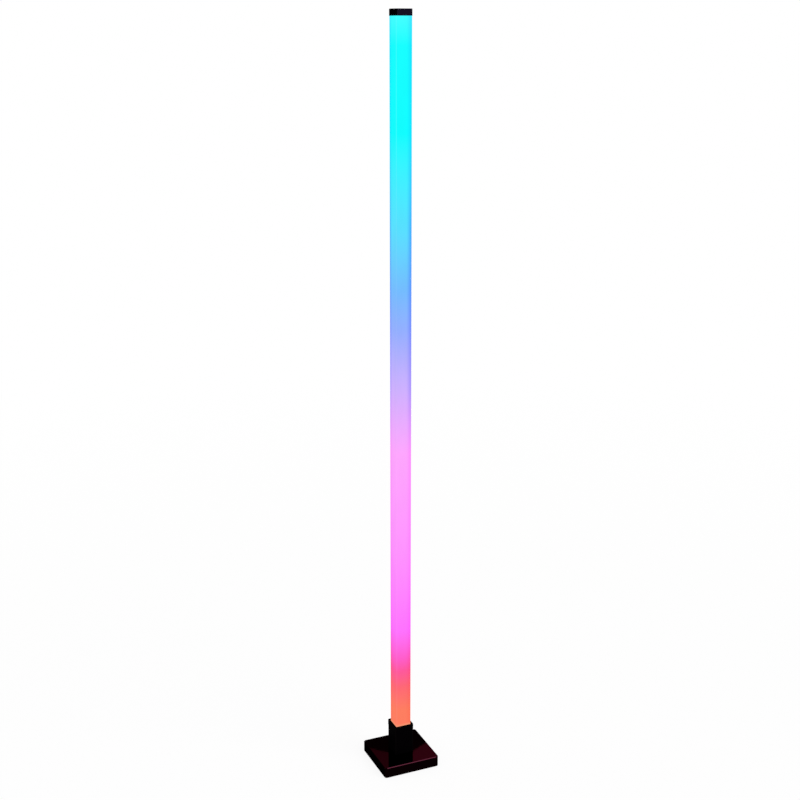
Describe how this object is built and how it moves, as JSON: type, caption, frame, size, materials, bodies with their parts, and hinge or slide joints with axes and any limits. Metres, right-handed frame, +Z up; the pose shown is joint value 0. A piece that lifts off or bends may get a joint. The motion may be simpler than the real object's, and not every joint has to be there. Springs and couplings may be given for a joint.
{
  "type": "led floor lamp",
  "caption": "Slim square LED floor lamp: a colour-graded lit diffuser pole with a black end cap, plugged into a square socket on a low weighted black base.",
  "frame": {"origin": "on the floor under the middle of the base", "axes": "+Z up along the pole, -Y to the front, +Y to the side with the power inlet and the button"},
  "size_m": [0.113, 0.113, 1.42],
  "materials": {
    "shell_black": "glossy black moulded ABS",
    "cover_black": "fine-textured black ABS",
    "socket_black": "satin black moulded ABS",
    "cap_black": "satin black moulded ABS",
    "button_black": "satin black plastic",
    "diffuser": "milky translucent polycarbonate, lit from inside",
    "plug_white": "white moulded plastic",
    "plunger_white": "white moulded plastic",
    "contact_block": "black glass-filled nylon",
    "contact_brass": "gold-flashed brass",
    "foot_rubber": "soft black rubber",
    "weight_steel": "zinc-plated steel plate",
    "screw_steel": "zinc-plated steel",
    "shield_steel": "tinned sheet steel",
    "capacitor_can": "bare aluminium can",
    "spine_aluminium": "mill-finish aluminium",
    "strip_white": "white solder-masked flexible board",
    "led_package": "white LED package with a clear lens",
    "lead_insulation": "three-core flat lead in PVC insulation",
    "board_green": "green solder mask",
    "chip_black": "black moulded epoxy"
  },
  "bodies": {
    "base": {"base_shell": "shell_black", "bottom_cover": "cover_black", "rubber_feet": "foot_rubber", "cover_screws": "screw_steel", "counterweight": "weight_steel", "post_socket": "socket_black", "socket_screws": "screw_steel", "contact_header": "contact_block", "contact_pins": "contact_brass", "base_leads": "lead_insulation", "control_board": "board_green", "board_screws": "screw_steel", "board_chips": "chip_black", "radio_module": "shield_steel", "supply_capacitor": "capacitor_can", "port_shell": "shield_steel", "port_tongue": "contact_block", "switch_body": "chip_black"},
    "button": {"mode_button": "button_black", "switch_plunger": "plunger_white"},
    "pole": {"diffuser_tube": "diffuser", "foot_plug": "plug_white", "contact_receptacle": "contact_block", "contact_sleeves": "contact_brass", "pole_leads": "lead_insulation", "led_spine": "spine_aluminium", "led_strip_front": "strip_white", "led_strip_rear": "strip_white", "leds_front": "led_package", "leds_rear": "led_package", "cap_insert": "plug_white", "top_cap": "cap_black"}
  },
  "joints": [
    {"name": "pole_lift", "type": "slide", "parent": "base", "child": "pole", "axis": [0, 0, 1], "range_m": [0, 0.065]},
    {"name": "button_press", "type": "slide", "parent": "base", "child": "button", "axis": [0, -1, 0], "range_m": [0, 0.0008], "stiffness_N_per_m": 800, "springref_m": -0.0005}
  ]
}
